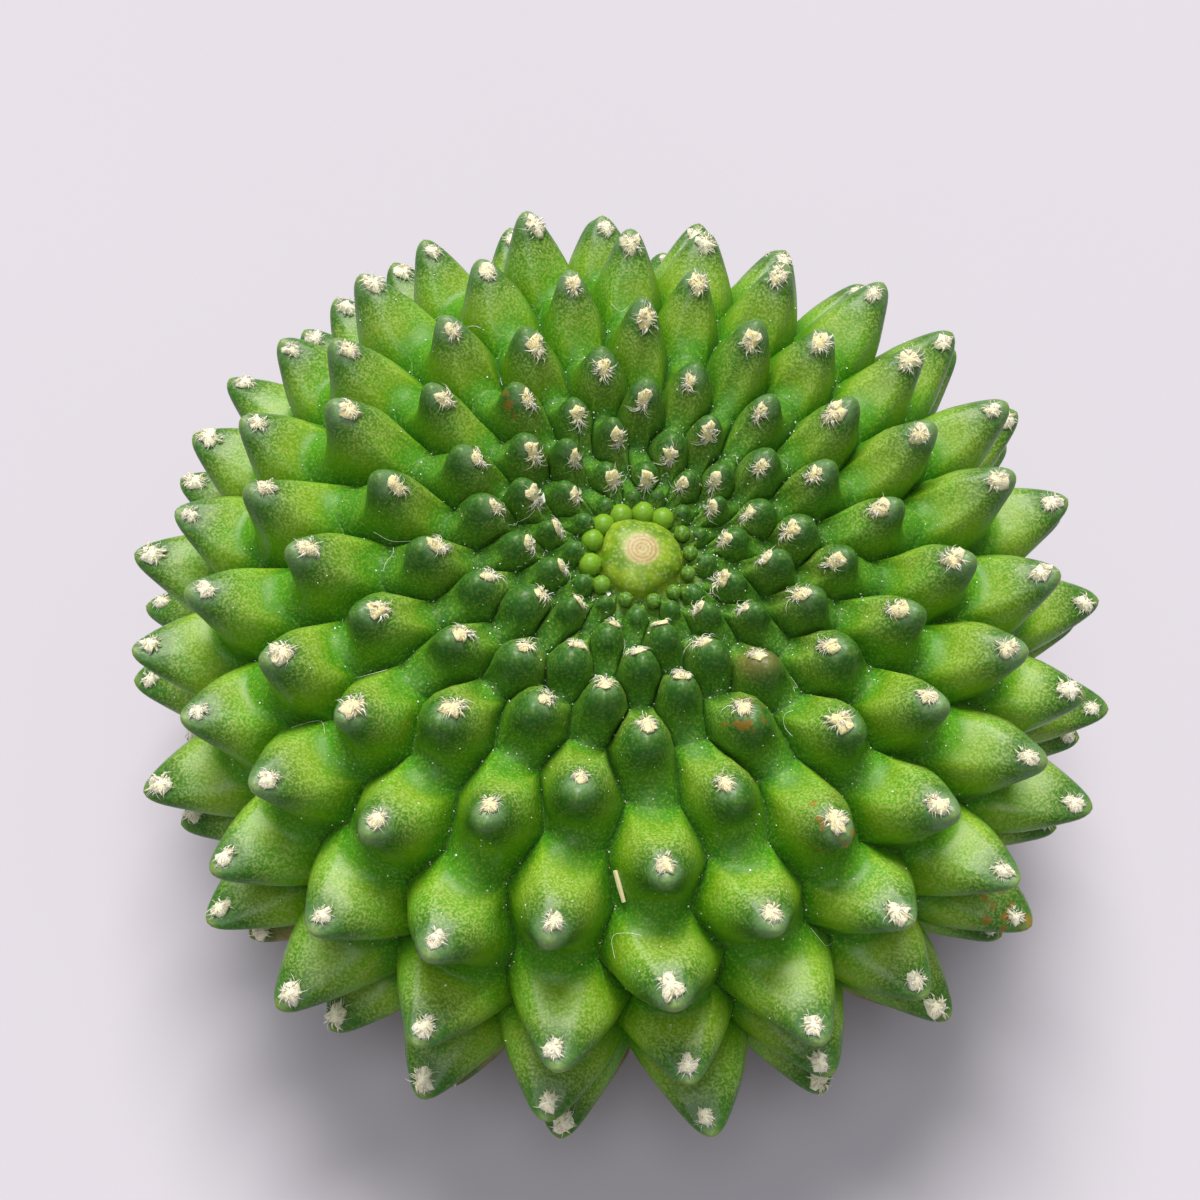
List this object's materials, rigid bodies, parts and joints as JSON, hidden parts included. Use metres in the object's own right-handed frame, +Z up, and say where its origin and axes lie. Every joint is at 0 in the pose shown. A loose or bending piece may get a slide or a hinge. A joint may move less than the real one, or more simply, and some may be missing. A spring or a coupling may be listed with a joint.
{
  "type": "chin cactus",
  "caption": "Squat round spineless cactus stem with rows of pointed chin-like tubercles, woolly areoles and a smooth crown, lifted and resting on its corky underside.",
  "frame": {"origin": "centre of the flat spot on the corky underside that the stem rests on", "axes": "+Z up from the resting surface through the crown; -Y towards the side seen at the front"},
  "size_m": [0.0804, 0.0807, 0.0382],
  "materials": {
    "skin": "waxy satin plant skin, green with yellow-green patches, darker round the areoles"
  },
  "bodies": {
    "root": {"stem": "skin"}
  },
  "joints": []
}
